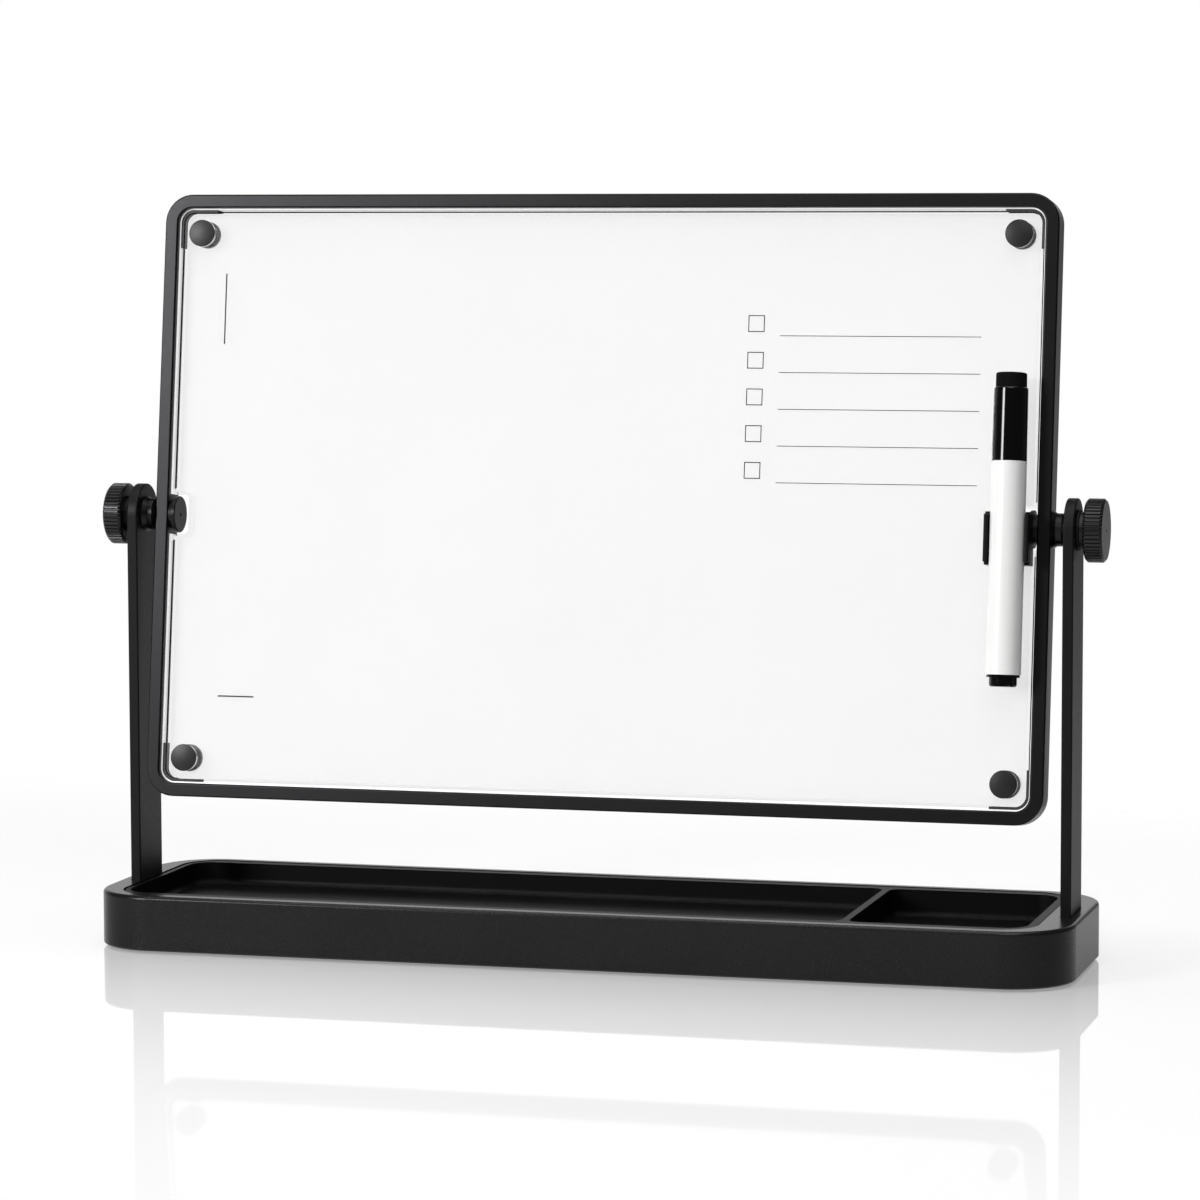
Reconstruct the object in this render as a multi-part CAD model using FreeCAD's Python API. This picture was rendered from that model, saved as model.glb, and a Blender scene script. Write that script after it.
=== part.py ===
import FreeCAD, Part
import math
import os

# Tilting clear memo board on a weighted tray base, in millimetres.
# X runs along the board, -Y is the front, Z is up. The origin is under the middle of the base, on the table.

# Width: the board's frame sets it, and bushes, uprights and the base's ends are added outside the frame
frame_width = 371.0
bush_length = 5.7
upright_thickness = 4.3
upright_end_inset = 4.5

# Base shell: a moulded box, open below, with a deck that holds the tray and lets the uprights through
base_depth = 106.0
base_corner_radius = 26.0
shell_height = 22.3
shell_wall = 2.4
deck_thickness = 4.6
top_edge_radius = 1.6
bottom_edge_chamfer = 0.6
boss_diameter = 4.8
boss_pilot_diameter = 2.2
boss_inset_y = 5.9
boss_spacing_share = 0.375

# Tray: one moulded insert with a flange, a long pocket and a small deeper pocket
flange_thickness = 2.2
flange_drop = 0.2
flange_left_inset = 10.6
flange_right_inset = 13.8
flange_front_inset = 6.0
flange_back_inset = 5.4
flange_corner_radius = 15.0
flange_edge_radius = 0.5
groove_width = 0.8
seam_width = 0.3
pocket_left_inset = 13.0
pocket_right_inset = 17.5
pocket_front_inset = 11.0
pocket_back_inset = 10.4
small_pocket_length = 69.7
divider_thickness = 3.0
long_pocket_depth = 9.0
small_pocket_depth = 11.0
pocket_corner_radius = 9.0
divider_corner_radius = 4.5
pocket_floor_radius = 2.4
tray_wall = 1.6
tray_clearance = 0.3

# Weight plate, its screws and the rubber feet
plate_thickness = 3.0
plate_clearance = 0.4
foot_diameter = 16.0
foot_height = 1.2
foot_edge_chamfer = 0.3
foot_inset_x = 38.0
foot_inset_y = 22.0
plate_screw_diameter = 2.1
plate_screw_head_diameter = 4.4
plate_screw_head_height = 1.3
plate_screw_length = 9.0
screw_clearance = 0.15

# Uprights: flat steel bars with a bent foot and a full round top
upright_depth = 25.0
upright_edge_radius = 0.6
foot_length = 30.0
bend_radius = 3.0
slot_clearance = 0.25
foot_screw_diameter = 3.9
foot_screw_head_diameter = 7.4
foot_screw_head_height = 2.0
foot_screw_engagement = 3.6
foot_screw_first_x = 12.0
foot_screw_pitch = 11.0

# Board frame: a bent aluminium bar, tilted back on the pivot axis
pivot_height = 174.0
board_tilt = 7.5
frame_above_pivot = 131.3
frame_below_pivot = 115.7
frame_bar = 5.5
frame_depth = 12.0
frame_corner_radius = 11.5
frame_edge_radius = 0.7

# Clear pane, the rubber pads at its corners and the soft liner in the frame
pane_thickness = 6.0
pane_gap = 1.2
pane_corner_radius = 5.0
pane_edge_chamfer = 0.9
notch_clearance = 0.7
notch_reach = 4.2
notch_corner_radius = 2.0
pad_leg = 15.0
pad_lip_width = 0.5
pad_lip_thickness = 0.45
pad_clearance = 0.05
seal_depth = 6.6
seal_thickness = 0.5

# Pivot bolts, bushes, washers and knobs, one set at each side
shank_diameter = 8.0
thread_diameter = 6.0
bolt_head_diameter = 15.0
bolt_head_thickness = 1.6
bolt_head_chamfer = 0.35
bolt_dimple_diameter = 1.8
bolt_dimple_depth = 0.8
bolt_collar_diameter = 11.5
bolt_collar_thickness = 1.8
bush_diameter = 15.0
bush_waist_diameter = 13.0
bush_waist_share = 0.4
running_clearance = 0.05
face_clearance = 0.05
washer_diameter = 16.0
washer_thickness = 1.0
washer_chamfer = 0.2
knob_hub_diameter = 14.5
knob_hub_length = 2.1
knob_diameter = 25.0
knob_thickness = 7.6
knob_chamfer = 0.9
knob_dimple_diameter = 1.4
knob_dimple_depth = 0.5
knob_flutes = 48
flute_depth = 0.55
flute_crest_share = 0.45
flute_root_share = 0.2
knob_end_wall = 1.8
insert_diameter = 9.0
insert_length = 7.6
insert_groove_depth = 0.4
insert_groove_width = 1.2
insert_fit = 0.02
thread_end_gap = 0.6

# Marker: tube, core, nib and its holder, plug, pull-off cap and felt eraser, standing along the board
marker_inset = 10.4
marker_bottom = -62.0
marker_diameter = 13.8
barrel_wall = 1.2
barrel_length = 83.0
plug_diameter = 10.9
plug_length = 3.6
plug_flange_diameter = 13.0
plug_flange_thickness = 1.0
plug_spigot_length = 6.0
plug_edge_chamfer = 0.6
cap_length = 28.7
cap_top_diameter = 13.4
cap_wall = 1.1
cap_seat_gap = 0.1
cap_edge_radius = 0.7
cap_spigot_diameter = 8.0
cap_spigot_height = 3.0
eraser_diameter = 12.1
eraser_length = 5.7
eraser_edge_radius = 0.8
holder_collar_length = 6.0
holder_spigot_length = 8.0
holder_cone_length = 9.0
holder_tip_diameter = 6.6
nib_diameter = 4.4
nib_reach = 6.0
nib_tip_diameter = 1.8
nib_tip_length = 2.4
nib_tail = 10.0
core_diameter = 9.4
core_fit = 0.1
core_end_gap = 0.6

# Clip that holds the marker to the pane, and its adhesive tape
clip_height = 20.7
clip_centre_drop = 4.3
clip_arm_height = 18.6
clip_arm_thickness = 1.7
clip_clearance = 0.3
clip_back_thickness = 1.6
clip_bolt_clearance = 0.6
clip_lip_reach = 3.4
clip_edge_radius = 0.5
tape_thickness = 0.9
tape_border = 0.6

# Memo magnets on the front of the pane and the keepers behind it
magnet_inset = 9.2
magnet_diameter = 10.6
magnet_thickness = 2.3
magnet_chamfer = 0.2
magnet_cap_diameter = 11.0
magnet_cap_thickness = 1.0
magnet_cap_crown = 0.5
magnet_cap_edge_radius = 0.25
keeper_diameter = 11.0
keeper_thickness = 1.8
keeper_edge_chamfer = 0.3

# One length by which every cutting tool runs past what it cuts
overrun = 1.0

FULL_TURN = 360.0
LEFT = -1
RIGHT = 1
SIDES = {"left": LEFT, "right": RIGHT}
X_AXIS = FreeCAD.Vector(1, 0, 0)
Y_AXIS = FreeCAD.Vector(0, 1, 0)
Z_AXIS = FreeCAD.Vector(0, 0, 1)

# Levels and places that follow from the sizes above
shell_bottom = foot_height
base_top = shell_bottom + shell_height
flange_top = base_top - flange_drop
plate_top = shell_bottom + plate_thickness
base_front = -base_depth / 2
base_back = base_depth / 2
frame_outer = frame_width / 2
frame_inner = frame_outer - frame_bar
upright_inner = frame_outer + bush_length
upright_outer = upright_inner + upright_thickness
base_end = upright_outer + upright_end_inset
flange_left = -base_end + flange_left_inset
flange_right = base_end - flange_right_inset
pocket_left = -base_end + pocket_left_inset
pocket_right = base_end - pocket_right_inset
divider_x = pocket_right - small_pocket_length - divider_thickness / 2
liner_inner = frame_inner - pad_clearance - seal_thickness
liner_radius = frame_corner_radius - frame_bar - pad_clearance - seal_thickness
pane_edge = frame_inner - pane_gap
pane_top = frame_above_pivot - frame_bar - pane_gap
pane_bottom = -frame_below_pivot + frame_bar + pane_gap
pane_front = -pane_thickness / 2
pane_back = pane_thickness / 2
bolt_head_face = frame_inner - bolt_collar_thickness - bolt_head_thickness
notch_half_height = bolt_head_diameter / 2 + notch_clearance
notch_floor = bolt_head_face - notch_reach
washer_inner = upright_outer + face_clearance
knob_inner = washer_inner + washer_thickness + face_clearance
knob_outer = knob_inner + knob_hub_length + knob_thickness
marker_radius = marker_diameter / 2
marker_x = frame_inner - marker_inset
bore_radius = marker_radius - barrel_wall
clip_bore_radius = marker_radius + clip_clearance
clip_half_width = clip_bore_radius + clip_arm_thickness
tape_front = pane_front - tape_thickness
marker_y = tape_front - clip_back_thickness - clip_bore_radius
barrel_bottom = marker_bottom + plug_length + plug_flange_thickness
barrel_top = barrel_bottom + barrel_length
cap_bottom = barrel_top + cap_seat_gap
cap_top = cap_bottom + cap_length
holder_collar_radius = (marker_radius + bore_radius) / 2 - cap_wall / 2
holder_shoulder = barrel_top + holder_collar_length
holder_tip = holder_shoulder + holder_cone_length
magnet_back = pane_front - face_clearance
magnet_front = magnet_back - magnet_thickness


def point(x, y, z):
    return FreeCAD.Vector(x, y, z)


def rounded_outline(x0, x1, y0, y1, radii, z):
    """Rectangle at height z with a tangent arc at each corner: front left, front right, back right, back left."""
    front_left, front_right, back_right, back_left = radii
    corners = (
        (x0, y0, 1, 1, front_left, FULL_TURN / 2),
        (x1, y0, -1, 1, front_right, FULL_TURN * 3 / 4),
        (x1, y1, -1, -1, back_right, 0),
        (x0, y1, 1, -1, back_left, FULL_TURN / 4),
    )
    edges = []
    previous_end = None
    first_start = None
    for corner_x, corner_y, inward_x, inward_y, radius, start_angle in corners:
        centre = point(corner_x + inward_x * radius, corner_y + inward_y * radius, z)
        arc = Part.makeCircle(radius, centre, Z_AXIS, start_angle, start_angle + FULL_TURN / 4)
        start = arc.Curve.value(arc.FirstParameter)
        if previous_end is None:
            first_start = start
        else:
            edges.append(Part.makeLine(previous_end, start))
        edges.append(arc)
        previous_end = arc.Curve.value(arc.LastParameter)
    edges.append(Part.makeLine(previous_end, first_start))
    return Part.Wire(edges)


def rounded_prism(x0, x1, y0, y1, z0, z1, radii):
    """Upright prism on a rounded rectangle."""
    outline = rounded_outline(x0, x1, y0, y1, radii, z0)
    return Part.Face(outline).extrude(point(0, 0, z1 - z0))


def board_prism(x0, x1, y0, y1, z0, z1, radius):
    """Flat panel on a rounded rectangle that stands in the XZ plane."""
    flat = rounded_prism(x0, x1, -z1, -z0, y0, y1, (radius,) * 4)
    return flat.rotate(point(0, 0, 0), X_AXIS, -FULL_TURN / 4)


def block(x0, x1, y0, y1, z0, z1):
    return Part.makeBox(x1 - x0, y1 - y0, z1 - z0, point(x0, y0, z0))


def rod_x(diameter, x0, x1, side=RIGHT):
    """Cylinder on the X axis from x0 to x1, mirrored for the left side."""
    return Part.makeCylinder(diameter / 2, x1 - x0, point(side * x0, 0, 0), X_AXIS * side)


def rod_z(diameter, x, y, z0, z1):
    return Part.makeCylinder(diameter / 2, z1 - z0, point(x, y, z0), Z_AXIS)


def turned(profile, origin, axis_line, radial_line):
    """Solid of revolution: (radius, height) points turned about axis_line through origin."""
    points = []
    for radius, height in profile:
        points.append(origin + radial_line * radius + axis_line * height)
    points.append(points[0])
    return Part.Face(Part.makePolygon(points)).revolve(origin, axis_line, FULL_TURN)


def edges_at_height(shape, z):
    """Edges that lie flat at height z."""
    found = []
    for edge in shape.Edges:
        box = edge.BoundBox
        if abs(box.ZMin - z) < running_clearance and abs(box.ZMax - z) < running_clearance:
            found.append(edge)
    return found


def edges_at_depth(shape, y):
    """Edges that lie in the plane at depth y."""
    found = []
    for edge in shape.Edges:
        box = edge.BoundBox
        if abs(box.YMin - y) < running_clearance and abs(box.YMax - y) < running_clearance:
            found.append(edge)
    return found


def countersunk_screw(x, y, head_z, shank_diameter_z, head_diameter, head_height, length):
    """Flat-headed screw pointing up, with the face of its head at head_z."""
    profile = (
        (0, 0),
        (head_diameter / 2, 0),
        (shank_diameter_z / 2, head_height),
        (shank_diameter_z / 2, length),
        (0, length),
    )
    return turned(profile, point(x, y, head_z), Z_AXIS, X_AXIS)


def boss_places():
    """Six places for the plate screws, three along the front and three along the back."""
    reach_x = base_end * 2 * boss_spacing_share
    reach_y = base_back - boss_inset_y
    return [(step * reach_x, row * reach_y) for row in (LEFT, RIGHT) for step in (LEFT, 0, RIGHT)]


def foot_screw_places(side):
    """Two places under the bent foot of one upright."""
    first = upright_outer - foot_screw_first_x
    return [(side * (first - step * foot_screw_pitch), 0) for step in range(2)]


def tray_flange_outline(grow, grow_right):
    """Left, right, front and back limits of the tray's flange, grown by a clearance."""
    return (
        flange_left - grow,
        flange_right + grow_right,
        base_front + flange_front_inset - grow,
        base_back - flange_back_inset + grow,
    )


def pocket_limits():
    """Limits and corner radii of the long and the small pocket, with the pocket's depth."""
    front = base_front + pocket_front_inset
    back = base_back - pocket_back_inset
    long_end = divider_x - divider_thickness / 2
    small_start = divider_x + divider_thickness / 2
    outer = pocket_corner_radius
    inner = divider_corner_radius
    long_pocket = (pocket_left, long_end, front, back, (outer, inner, inner, outer), long_pocket_depth)
    small_pocket = (small_start, pocket_right, front, back, (inner, outer, outer, inner), small_pocket_depth)
    return long_pocket, small_pocket


def tub(limits, grow, top, extra_depth):
    """A pocket with rounded corners and floor edge, grown on every side by one thickness."""
    x0, x1, y0, y1, radii, depth = limits
    floor = flange_top - depth - extra_depth
    grown = tuple(radius + grow for radius in radii)
    solid = rounded_prism(x0 - grow, x1 + grow, y0 - grow, y1 + grow, floor, top, grown)
    return solid.makeFillet(pocket_floor_radius + grow, edges_at_height(solid, floor))


def make_base_shell():
    """Box with rounded top edges, hollow below, rebated for the tray and slotted for the uprights."""
    half = base_end
    radius = base_corner_radius
    shell = rounded_prism(-half, half, base_front, base_back, shell_bottom, base_top, (radius,) * 4)
    shell = shell.makeFillet(top_edge_radius, edges_at_height(shell, base_top))
    shell = shell.makeChamfer(bottom_edge_chamfer, edges_at_height(shell, shell_bottom))
    wall = shell_wall
    hollow_top = base_top - deck_thickness
    hollow = rounded_prism(-half + wall, half - wall, base_front + wall, base_back - wall,
                           shell_bottom - overrun, hollow_top, (radius - wall,) * 4)
    shell = shell.cut(hollow)
    x0, x1, y0, y1 = tray_flange_outline(groove_width, seam_width)
    corner = flange_corner_radius + groove_width
    rebate = rounded_prism(x0, x1, y0, y1, flange_top - flange_thickness, base_top + overrun, (corner,) * 4)
    shell = shell.cut(rebate)
    front = base_front + pocket_front_inset
    back = base_back - pocket_back_inset
    grow = tray_wall + tray_clearance
    opening = rounded_prism(pocket_left - grow, pocket_right + grow, front - grow, back + grow,
                            hollow_top - overrun, base_top + overrun, (pocket_corner_radius + grow,) * 4)
    shell = shell.cut(opening)
    slot_half = upright_depth / 2 + slot_clearance
    for side in SIDES.values():
        near = side * (upright_inner - slot_clearance)
        far = side * (upright_outer + slot_clearance)
        shell = shell.cut(block(min(near, far), max(near, far), -slot_half, slot_half,
                                hollow_top - overrun, base_top + overrun))
    for x, y in boss_places():
        boss = rod_z(boss_diameter, x, y, plate_top, hollow_top)
        shell = shell.fuse(boss)
    for x, y in boss_places():
        pilot_top = shell_bottom + plate_screw_length + overrun
        shell = shell.cut(rod_z(boss_pilot_diameter, x, y, plate_top - overrun, pilot_top))
    return shell.removeSplitter()


def make_tray_insert():
    """Flanged tray with two drawn pockets and a divider between them."""
    x0, x1, y0, y1 = tray_flange_outline(0, 0)
    corner = flange_corner_radius
    tray = rounded_prism(x0, x1, y0, y1, flange_top - flange_thickness, flange_top, (corner,) * 4)
    tray = tray.makeFillet(flange_edge_radius, edges_at_height(tray, flange_top))
    pockets = pocket_limits()
    for limits in pockets:
        tray = tray.fuse(tub(limits, tray_wall, flange_top - flange_edge_radius, tray_wall))
    for limits in pockets:
        tray = tray.cut(tub(limits, 0, flange_top + overrun, 0))
    return tray.removeSplitter()


def make_base_plate():
    """Steel weight plate inside the shell, countersunk for its screws and for the uprights' screws."""
    inset = shell_wall + plate_clearance
    half = base_end - inset
    radius = base_corner_radius - inset
    plate = rounded_prism(-half, half, base_front + inset, base_back - inset, shell_bottom, plate_top, (radius,) * 4)
    for x, y in boss_places():
        plate = plate.cut(countersunk_screw(x, y, shell_bottom, plate_screw_diameter + screw_clearance * 2,
                                            plate_screw_head_diameter + screw_clearance * 2,
                                            plate_screw_head_height, plate_screw_length))
    for side in SIDES.values():
        for x, y in foot_screw_places(side):
            plate = plate.cut(countersunk_screw(x, y, shell_bottom, foot_screw_diameter + screw_clearance * 2,
                                                foot_screw_head_diameter + screw_clearance * 2,
                                                foot_screw_head_height, plate_thickness + overrun))
    return plate


def make_plate_screws():
    return [countersunk_screw(x, y, shell_bottom, plate_screw_diameter, plate_screw_head_diameter,
                              plate_screw_head_height, plate_screw_length) for x, y in boss_places()]


def make_upright_screws():
    length = plate_thickness + foot_screw_engagement
    screws = []
    for side in SIDES.values():
        for x, y in foot_screw_places(side):
            screws.append(countersunk_screw(x, y, shell_bottom, foot_screw_diameter, foot_screw_head_diameter,
                                            foot_screw_head_height, length))
    return screws


def make_rubber_feet():
    """Four low discs with a chamfered lower edge, stuck under the plate."""
    reach_x = base_end - foot_inset_x
    reach_y = base_back - foot_inset_y
    radius = foot_diameter / 2
    profile = (
        (0, 0),
        (radius - foot_edge_chamfer, 0),
        (radius, foot_edge_chamfer),
        (radius, foot_height),
        (0, foot_height),
    )
    places = [(column * reach_x, row * reach_y) for row in (LEFT, RIGHT) for column in (LEFT, RIGHT)]
    return [turned(profile, point(x, y, 0), Z_AXIS, X_AXIS) for x, y in places]


def bend_arc(centre, radius):
    """Quarter circle of the bend, from the bar's upright face round to the foot's flat face."""
    slant = radius * math.cos(math.pi / 4)
    start = centre + point(radius, 0, 0)
    middle = centre + point(slant, 0, -slant)
    end = centre + point(0, 0, -radius)
    return Part.Arc(start, middle, end).toShape()


def make_upright(side):
    """Flat bar, bent inwards to a foot on the plate, with a full round top about the pivot."""
    outer_bend = bend_radius + upright_thickness
    bar_top = pivot_height + upright_depth / 2
    half = upright_depth / 2
    toe = upright_outer - foot_length
    bend_x = upright_outer - outer_bend
    bend_z = plate_top + outer_bend
    bend_centre = point(bend_x, -half, bend_z)
    outer_arc = bend_arc(bend_centre, outer_bend)
    inner_arc = bend_arc(bend_centre, bend_radius)
    foot_top = plate_top + upright_thickness
    path = [
        Part.makeLine(point(upright_inner, -half, bar_top), point(upright_outer, -half, bar_top)),
        Part.makeLine(point(upright_outer, -half, bar_top), point(upright_outer, -half, bend_z)),
        outer_arc,
        Part.makeLine(point(bend_x, -half, plate_top), point(toe, -half, plate_top)),
        Part.makeLine(point(toe, -half, plate_top), point(toe, -half, foot_top)),
        Part.makeLine(point(toe, -half, foot_top), point(bend_x, -half, foot_top)),
        inner_arc,
        Part.makeLine(point(upright_inner, -half, bend_z), point(upright_inner, -half, bar_top)),
    ]
    section = Part.Wire(Part.__sortEdges__(path))
    bar = Part.Face(section).extrude(point(0, upright_depth, 0))
    round_end = rod_x(upright_depth, upright_inner, upright_outer)
    round_end.translate(point(0, 0, pivot_height))
    above = block(upright_inner - overrun, upright_outer + overrun, -half - overrun, half + overrun,
                  pivot_height, bar_top + overrun)
    bar = bar.cut(above.cut(round_end))
    long_edges = [edge for edge in bar.Edges if edge.BoundBox.ZLength > upright_depth
                  and edge.BoundBox.YLength < running_clearance and edge.BoundBox.XLength < running_clearance]
    bar = bar.makeFillet(upright_edge_radius, long_edges)
    hole = rod_x(shank_diameter + running_clearance * 2, upright_inner - overrun, upright_outer + overrun)
    hole.translate(point(0, 0, pivot_height))
    bar = bar.cut(hole)
    for x, y in foot_screw_places(RIGHT):
        bar = bar.cut(rod_z(foot_screw_diameter + screw_clearance * 2, x, y, plate_top - overrun, foot_top + overrun))
    if side == LEFT:
        bar = bar.mirror(point(0, 0, 0), X_AXIS)
    return bar


def on_board(shape):
    """Carry a shape from the board's own frame, with the pivot at its origin, to its tilted place."""
    tilt = FreeCAD.Rotation(X_AXIS, -board_tilt)
    placed = shape.copy()
    placed.Placement = FreeCAD.Placement(point(0, 0, pivot_height), tilt).multiply(placed.Placement)
    return placed


def make_board_frame():
    """Rounded rectangular ring of flat bar with softened edges and a hole at each pivot."""
    half_depth = frame_depth / 2
    outer = board_prism(-frame_outer, frame_outer, -half_depth, half_depth,
                        -frame_below_pivot, frame_above_pivot, frame_corner_radius)
    inner = board_prism(-frame_inner, frame_inner, -half_depth - overrun, half_depth + overrun,
                        -frame_below_pivot + frame_bar, frame_above_pivot - frame_bar,
                        frame_corner_radius - frame_bar)
    ring = outer.cut(inner)
    ring = ring.makeFillet(frame_edge_radius, edges_at_depth(ring, -half_depth) + edges_at_depth(ring, half_depth))
    for side in SIDES.values():
        ring = ring.cut(rod_x(shank_diameter + running_clearance * 2, frame_inner - overrun, frame_outer + overrun, side))
    return ring


def make_clear_pane():
    """Cast sheet with polished, chamfered edges, notched round the head of each pivot bolt."""
    pane = board_prism(-pane_edge, pane_edge, pane_front, pane_back, pane_bottom, pane_top, pane_corner_radius)
    for side in SIDES.values():
        near = side * notch_floor
        far = side * (pane_edge + overrun + notch_corner_radius)
        pane = pane.cut(board_prism(min(near, far), max(near, far), pane_front - overrun, pane_back + overrun,
                                    -notch_half_height, notch_half_height, notch_corner_radius))
    return pane.makeChamfer(pane_edge_chamfer, edges_at_depth(pane, pane_front) + edges_at_depth(pane, pane_back))


def liner_prism(y0, y1, inset, radius):
    """Panel that fills the frame's opening but for one inset all round."""
    side = frame_inner - inset
    low = -frame_below_pivot + frame_bar + inset
    high = frame_above_pivot - frame_bar - inset
    return board_prism(-side, side, y0, y1, low, high, radius)


def make_corner_pads():
    """Four L-shaped rubber channels with narrow lips that grip the pane's corners inside the liner."""
    lip_front = pane_front - pad_lip_thickness
    lip_back = pane_back + pad_lip_thickness
    inner = liner_prism(lip_front, lip_back, frame_inner - liner_inner + pad_clearance, liner_radius - pad_clearance)
    lip = pad_lip_width
    window = board_prism(-pane_edge + lip, pane_edge - lip, lip_front - overrun, lip_back + overrun,
                         pane_bottom + lip, pane_top - lip, pane_corner_radius - lip)
    sheet = board_prism(-pane_edge - pad_clearance, pane_edge + pad_clearance,
                        pane_front - pad_clearance, pane_back + pad_clearance,
                        pane_bottom - pad_clearance, pane_top + pad_clearance, pane_corner_radius + pad_clearance)
    channel = inner.cut(window).cut(sheet)
    pads = []
    for side in SIDES.values():
        for level, away in ((pane_bottom, LEFT), (pane_top, RIGHT)):
            near_x = side * (pane_edge - pad_leg)
            far_x = side * (frame_inner + overrun)
            near_z = level - away * pad_leg
            far_z = level + away * (pane_gap + overrun)
            corner = block(min(near_x, far_x), max(near_x, far_x), lip_front - overrun, lip_back + overrun,
                           min(near_z, far_z), max(near_z, far_z))
            pads.append(channel.common(corner).Solids[0])
    return pads


def make_edge_seals():
    """Soft liner round the inside of the frame, in two lengths that stop at the pivot bolts."""
    half = seal_depth / 2
    ring = liner_prism(-half, half, pad_clearance, frame_corner_radius - frame_bar - pad_clearance)
    ring = ring.cut(liner_prism(-half - overrun, half + overrun, frame_inner - liner_inner, liner_radius))
    gap = block(-frame_outer, frame_outer, -half - overrun, half + overrun, -notch_half_height, notch_half_height)
    return ring.cut(gap).Solids


def make_pivot_bolt(side):
    """Shouldered bolt: dimpled round head and collar inside the frame, plain shank, threaded end under the knob."""
    head_radius = bolt_head_diameter / 2
    shoulder = upright_outer - face_clearance
    thread_end = knob_outer - knob_end_wall - thread_end_gap
    profile = (
        (0, bolt_head_face + bolt_dimple_depth),
        (bolt_dimple_diameter / 2, bolt_head_face),
        (head_radius - bolt_head_chamfer, bolt_head_face),
        (head_radius, bolt_head_face + bolt_head_chamfer),
        (head_radius, bolt_head_face + bolt_head_thickness),
        (bolt_collar_diameter / 2, bolt_head_face + bolt_head_thickness),
        (bolt_collar_diameter / 2, frame_inner),
        (shank_diameter / 2, frame_inner),
        (shank_diameter / 2, shoulder),
        (thread_diameter / 2, shoulder),
        (thread_diameter / 2, thread_end),
        (0, thread_end),
    )
    return turned(profile, point(0, 0, 0), X_AXIS * side, Y_AXIS)


def make_pivot_bush(side):
    """Waisted spool on the shank that keeps the frame off the upright."""
    end = upright_inner - face_clearance
    span = end - frame_outer
    waist = span * bush_waist_share
    flare = (span - waist) / 2
    bore = shank_diameter / 2 + running_clearance
    profile = (
        (bore, frame_outer),
        (bush_diameter / 2, frame_outer),
        (bush_waist_diameter / 2, frame_outer + flare),
        (bush_waist_diameter / 2, end - flare),
        (bush_diameter / 2, end),
        (bore, end),
    )
    return turned(profile, point(0, 0, 0), X_AXIS * side, Y_AXIS)


def make_friction_washer(side):
    """Flat washer between the upright and the knob's hub."""
    outer = washer_diameter / 2
    bore = thread_diameter / 2 + running_clearance
    far = washer_inner + washer_thickness
    profile = (
        (bore, washer_inner),
        (outer - washer_chamfer, washer_inner),
        (outer, washer_inner + washer_chamfer),
        (outer, far - washer_chamfer),
        (outer - washer_chamfer, far),
        (bore, far),
    )
    return turned(profile, point(0, 0, pivot_height), X_AXIS * side, Y_AXIS)


def fluted_outline(x):
    """Toothed circle at x: each flute has a flat crest and a flat root joined by straight flanks."""
    crest = knob_diameter / 2
    root = crest - flute_depth
    pitch = math.tau / knob_flutes
    crest_half = pitch * flute_crest_share / 2
    root_half = pitch * flute_root_share / 2
    points = []
    for tooth in range(knob_flutes):
        middle = tooth * pitch
        valley = middle + pitch / 2
        for radius, angle in ((crest, middle - crest_half), (crest, middle + crest_half),
                              (root, valley - root_half), (root, valley + root_half)):
            points.append(point(x, radius * math.cos(angle), radius * math.sin(angle)))
    points.append(points[0])
    return Part.makePolygon(points)


def make_knob(side):
    """Fluted grip with chamfered rims on a plain hub, bored blind for its threaded insert."""
    grip_start = knob_inner + knob_hub_length
    grip = Part.Face(fluted_outline(grip_start)).extrude(point(knob_thickness, 0, 0))
    radius = knob_diameter / 2
    rim = radius - knob_chamfer
    envelope = turned((
        (0, grip_start),
        (rim, grip_start),
        (radius, grip_start + knob_chamfer),
        (radius, knob_outer - knob_chamfer),
        (rim, knob_outer),
        (knob_dimple_diameter / 2, knob_outer),
        (0, knob_outer - knob_dimple_depth),
    ), point(0, 0, 0), X_AXIS, Y_AXIS)
    knob = grip.common(envelope)
    knob = knob.fuse(rod_x(knob_hub_diameter, knob_inner, grip_start))
    knob = knob.cut(rod_x(insert_diameter + insert_fit * 2, knob_inner - overrun, knob_outer - knob_end_wall))
    if side == LEFT:
        knob = knob.mirror(point(0, 0, 0), X_AXIS)
    knob.translate(point(0, 0, pivot_height))
    return knob


def make_knob_insert(side):
    """Brass insert with a holding groove, pressed into the hub."""
    end = knob_inner + insert_length
    bore = thread_diameter / 2 + running_clearance
    outer = insert_diameter / 2
    groove_start = knob_inner + (insert_length - insert_groove_width) / 2
    groove_end = groove_start + insert_groove_width
    profile = (
        (bore, knob_inner),
        (outer, knob_inner),
        (outer, groove_start),
        (outer - insert_groove_depth, groove_start),
        (outer - insert_groove_depth, groove_end),
        (outer, groove_end),
        (outer, end),
        (bore, end),
    )
    return turned(profile, point(0, 0, pivot_height), X_AXIS * side, Y_AXIS)


def on_marker(profile):
    """Turned piece of the marker: (radius, height along the board) points about the marker's axis."""
    return turned(profile, point(marker_x, marker_y, 0), Z_AXIS, X_AXIS)


def make_marker_barrel():
    """Plain tube."""
    return on_marker((
        (bore_radius, barrel_bottom),
        (marker_radius, barrel_bottom),
        (marker_radius, barrel_top),
        (bore_radius, barrel_top),
    ))


def make_marker_end_plug():
    """Stepped plug: spigot in the tube, thin flange, smaller chamfered end."""
    end_radius = plug_diameter / 2
    flange_low = barrel_bottom - plug_flange_thickness
    return on_marker((
        (0, marker_bottom),
        (end_radius - plug_edge_chamfer, marker_bottom),
        (end_radius, marker_bottom + plug_edge_chamfer),
        (end_radius, flange_low),
        (plug_flange_diameter / 2, flange_low),
        (plug_flange_diameter / 2, barrel_bottom),
        (bore_radius - core_fit, barrel_bottom),
        (bore_radius - core_fit, barrel_bottom + plug_spigot_length),
        (0, barrel_bottom + plug_spigot_length),
    ))


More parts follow.
